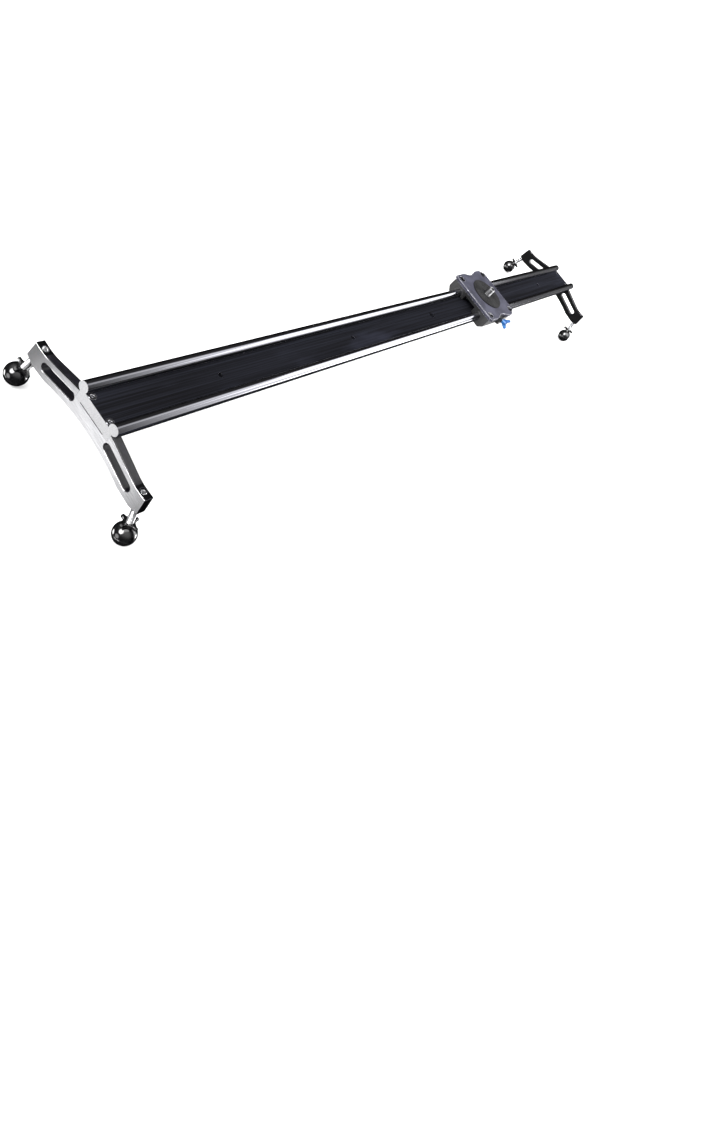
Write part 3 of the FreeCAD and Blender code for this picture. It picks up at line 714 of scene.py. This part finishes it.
def make_brake():
    """The knob's screw pushes a plastic pad against the right shaft."""
    low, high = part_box("brake_screw")
    spot = Matrix.Translation(((low.x + high.x) / 2, -SHAFT_Y, SHAFT_Z))
    place = spot @ Matrix.Rotation(math.pi / 2 - BRAKE_TILT, 4, "X")
    disc = [
        (0, PAD_FACE),
        (3.1, PAD_FACE),
        (3.5, 6.0),
        (3.5, 9.3),
        (3.2, SCREW_START),
        (0, SCREW_START),
    ]
    turned("brake_pad", "brake_pad", BRAKE_PAD, [lathe(disc)], place)
    rings = thread(SCREW_START, SCREW_END, radius=2.5, pitch=0.8, chamfer=0.5, rows=8)
    screw = [circle(0, SCREW_START * MM)] + rings + [circle(0, SCREW_END * MM)]
    turned("brake_screw", "brake_knob", STUD_STEEL, [screw], place)
    softened(
        "brake_knob", "brake_knob", BRAKE_BLUE, BLUE_EDGE_PAINTED_SHADE, 0.45 * MM, segments=3
    )


# ---------------------------------------------------------------- cast, milled and extruded pieces


def make_aluminium():
    """The pieces that keep the CAD surface: rail, brackets, carriage and its liners."""
    softened("rail", "base", rail_black(), DARK_EDGE, 0.22 * MM)
    for end in ENDS:
        softened(
            f"end_bracket_{end}", "base", bracket_black(end), DARK_EDGE,
            0.25 * MM, angle=50,
        )
    softened("carriage_body", "carriage", CASTING, DARK_EDGE, 0.35 * MM)
    softened("carriage_plate", "carriage", PLATE, BRIGHT_EDGE, 0.15 * MM)
    for end in ENDS:
        for side in SIDES:
            softened(
                f"bearing_liner_{end}_{side}", "carriage", LINER, LINER, 0.25 * MM
            )


make_feet()
make_screws()
make_head_mount()
make_brake()
make_aluminium()


# ---------------------------------------------------------------- studio

# Soft reflections round the object: azimuth from +X, elevation, full and faded radius, strength.
REFLECTORS = [
    (152, -47.3, 1, 7, 1.35),
    (118, -38, 9, 14, 10.0),
    (160, 35, 17, 24, 14.0),
    (-33, -10, 6, 10, 12.0),
    (-10, 51, 6, 14, 1.4),
    (170, -19, 12, 21, 2.6),
    (-17, -19, 3, 8, 1.6),
]
# The dim room, by the direction's Z and by its X, the two multiplied. Each goes from one place
# to another, and from one value to another.
ROOM_HEIGHT = (-0.05, 0.85, 0.04, 0.9)
ROOM_DEPTH = (-0.2, 0.4, 1.0, 0.14)
# The tall side light in the same way, by the angle round the X axis from straight up, the right
# side negative, and by the direction's X, where it begins and where it is cut off.
SIDE_LOWER = (math.radians(-136), math.radians(-106), 0.0, 1.0)
SIDE_UPPER = (math.radians(-20), math.radians(14), 1.0, 0.0)
SIDE_START = (0.59, 0.77, 0.0, 3.5)
SIDE_STOP = (0.885, 0.915, 1.0, 0.08)
FLOOR_SHINE = 1.3


def make_floor():
    """White paper that glossy surfaces don't mirror."""
    bpy.ops.mesh.primitive_plane_add(size=40, location=(0, 0, 0))
    floor = bpy.context.object
    floor.name = "floor"
    floor.data.materials.append(floor_white())
    floor.visible_glossy = False


def soft_box(name, place, aim, width, height, power):
    """A rectangular studio light. width lies level."""
    light = bpy.data.lights.new(name, "AREA")
    light.shape = "RECTANGLE"
    light.size = width
    light.size_y = height
    light.energy = power
    holder = bpy.data.objects.new(name, light)
    holder.location = place
    holder.rotation_euler = (Vector(aim) - Vector(place)).to_track_quat("-Z", "Y").to_euler()
    holder.visible_camera = False
    bpy.context.scene.collection.objects.link(holder)


def make_world():
    """White all round, but a dim room with a few soft reflectors in glossy surfaces."""
    world = bpy.data.worlds.new("studio")
    bpy.context.scene.world = world
    world.use_nodes = True
    sky = Nodes(world.node_tree)
    direction = sky.add("TexCoord").outputs["Generated"]
    x, y, z = sky.parts(direction)
    room = sky.math("MULTIPLY", sky.spread(z, *ROOM_HEIGHT), sky.spread(x, *ROOM_DEPTH))

    # one tall light beyond the far end, to the right: a sector round the +X axis
    roll = sky.math("ARCTAN2", y, z)
    sector = sky.math("MULTIPLY", sky.spread(roll, *SIDE_LOWER), sky.spread(roll, *SIDE_UPPER))
    depth = sky.math("MULTIPLY", sky.spread(x, *SIDE_START), sky.spread(x, *SIDE_STOP))
    shine = sky.math("ADD", room, sky.math("MULTIPLY", sector, depth))
    for azimuth, elevation, full, faded, strength in REFLECTORS:
        heading, level = math.radians(azimuth), math.cos(math.radians(elevation))
        spot = Vector((
            level * math.cos(heading),
            level * math.sin(heading),
            math.sin(math.radians(elevation)),
        ))
        nearness = sky.add("VectorMath", operation="DOT_PRODUCT")
        sky.wire(nearness.inputs[0], direction)
        sky.wire(nearness.inputs[1], spot)
        edges = math.cos(math.radians(faded)), math.cos(math.radians(full))
        glow = sky.spread(nearness.outputs["Value"], *edges, 0.0, strength)
        shine = sky.math("ADD", shine, glow)
    path = sky.add("LightPath").outputs
    seen = sky.math("MAXIMUM", path["Is Camera Ray"], path["Is Diffuse Ray"])
    background = world.node_tree.nodes["Background"]
    sky.wire(background.inputs["Strength"], sky.blend(seen, shine, FLOOR_SHINE))
    sky.wire(background.inputs["Color"], (1, 1, 1, 1))


def make_camera():
    """The photograph's viewing angle, from a camera fitted to the rail, brackets and feet."""
    data = bpy.data.cameras.new("camera")
    data.sensor_width = 36
    data.lens = 26.017
    data.shift_y = -0.105
    data.clip_start = 0.01
    camera = bpy.data.objects.new("camera", data)
    right = Vector((0.53826, -0.58756, 0.60419))
    up = Vector((0.26494, 0.79853, 0.54052))
    back = Vector((-0.80005, -0.13087, 0.58549))
    stand = Vector((-0.88843, -0.21512, 0.52111))
    turn = Matrix((right, up, back)).transposed().to_4x4()
    camera.matrix_world = Matrix.Translation(stand) @ turn
    bpy.context.scene.collection.objects.link(camera)
    bpy.context.scene.camera = camera


make_floor()
make_world()
make_camera()
soft_box(
    "back_box", place=(0.41, -0.255, 0.373), aim=(0.177, -0.255, -0.047),
    width=0.58, height=0.48, power=3.0,
)
soft_box("top_box", place=(-0.7, 0.3, 1.8), aim=(-0.1, 0, 0), width=1.6, height=1.6, power=18)
bpy.context.scene.view_settings.view_transform = "Standard"
